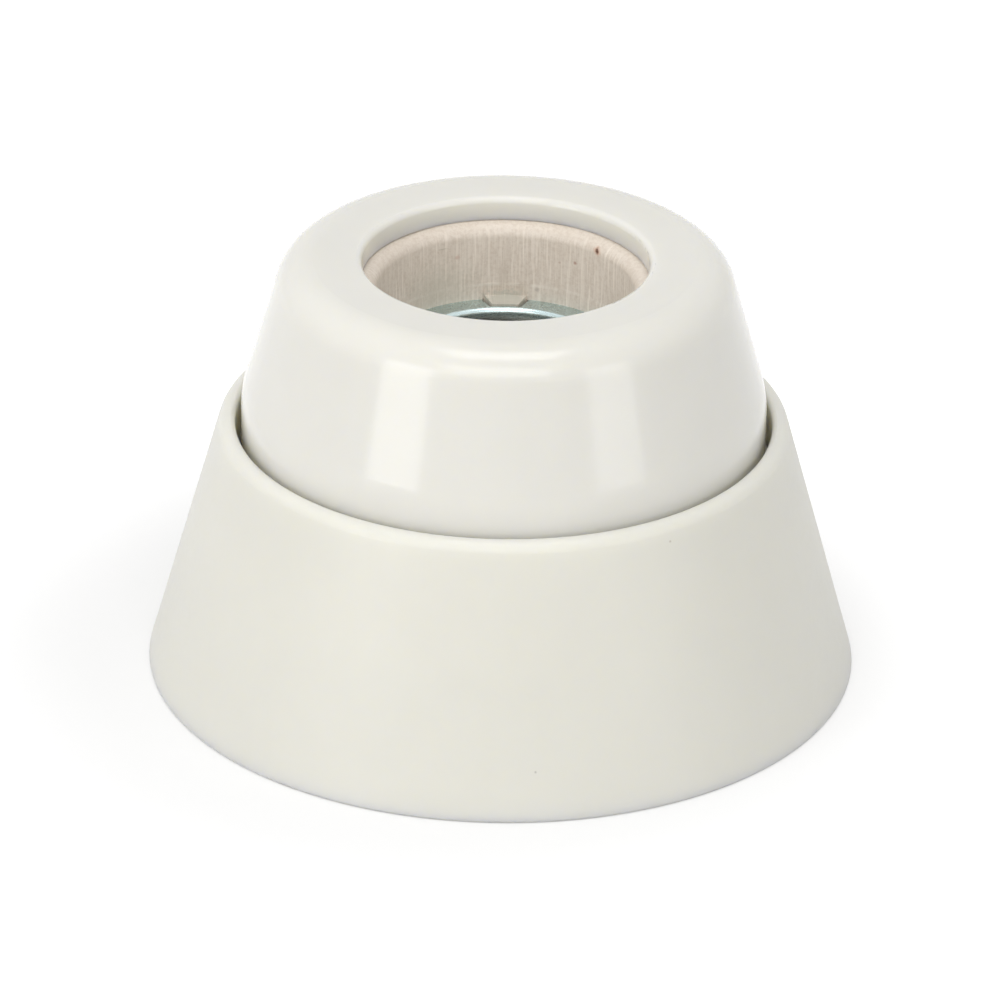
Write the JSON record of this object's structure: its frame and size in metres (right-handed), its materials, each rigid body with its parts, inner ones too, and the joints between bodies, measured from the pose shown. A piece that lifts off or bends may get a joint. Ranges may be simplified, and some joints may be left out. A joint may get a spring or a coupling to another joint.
{
  "type": "lamp holder",
  "caption": "Conical surface-mounting lamp holder: moulded base, screw-on cap with a round mouth, porcelain insert and steel Edison screw shell.",
  "frame": {"origin": "centre of the mounting face, where the base meets the ceiling or wall", "axes": "+Z out of the mounting face towards the lamp; the wire terminals lie along +Y and -Y, the fixing slots along +X and -X"},
  "size_m": [0.0918, 0.0918, 0.0567],
  "materials": {
    "base_moulding": "satin off-white thermoset moulding",
    "cap_moulding": "polished off-white thermoset moulding",
    "porcelain": "warm white glazed porcelain",
    "zinc_steel": "bluish zinc-plated steel sheet",
    "contact_bronze": "rolled bronze strip",
    "brass": "drawn brass, as cut",
    "screw_steel": "zinc-plated steel screws"
  },
  "bodies": {
    "base": {"base_housing": "base_moulding", "insulator": "porcelain", "screw_shell": "zinc_steel", "side_strap": "brass", "centre_strap": "brass", "side_terminal": "brass", "centre_terminal": "brass", "shell_screw": "screw_steel", "contact_screw": "screw_steel", "terminal_screws": "screw_steel", "insert_screws": "screw_steel", "insert_washers": "screw_steel", "base_bushes": "brass"},
    "ring": {"guard_ring": "porcelain"},
    "cap": {"cap": "cap_moulding"},
    "contact": {"centre_contact": "contact_bronze"}
  },
  "joints": [
    {"name": "cap_turn", "type": "hinge", "parent": "ring", "child": "cap", "pos_m": [0, 0, 0], "axis": [0, 0, 1], "range_deg": [0, 1080]},
    {"name": "cap_rise", "type": "slide", "parent": "base", "child": "ring", "axis": [0, 0, 1], "range_m": [0, 0.009]},
    {"name": "contact_press", "type": "slide", "parent": "base", "child": "contact", "axis": [0, 0, 1], "range_m": [-0.0015, 0], "stiffness_N_per_m": 1700, "deforming": ["centre_contact"]}
  ],
  "couplings": [
    {"joint": "cap_turn", "follows": "cap_rise", "rad_per_m": 2094.4}
  ]
}
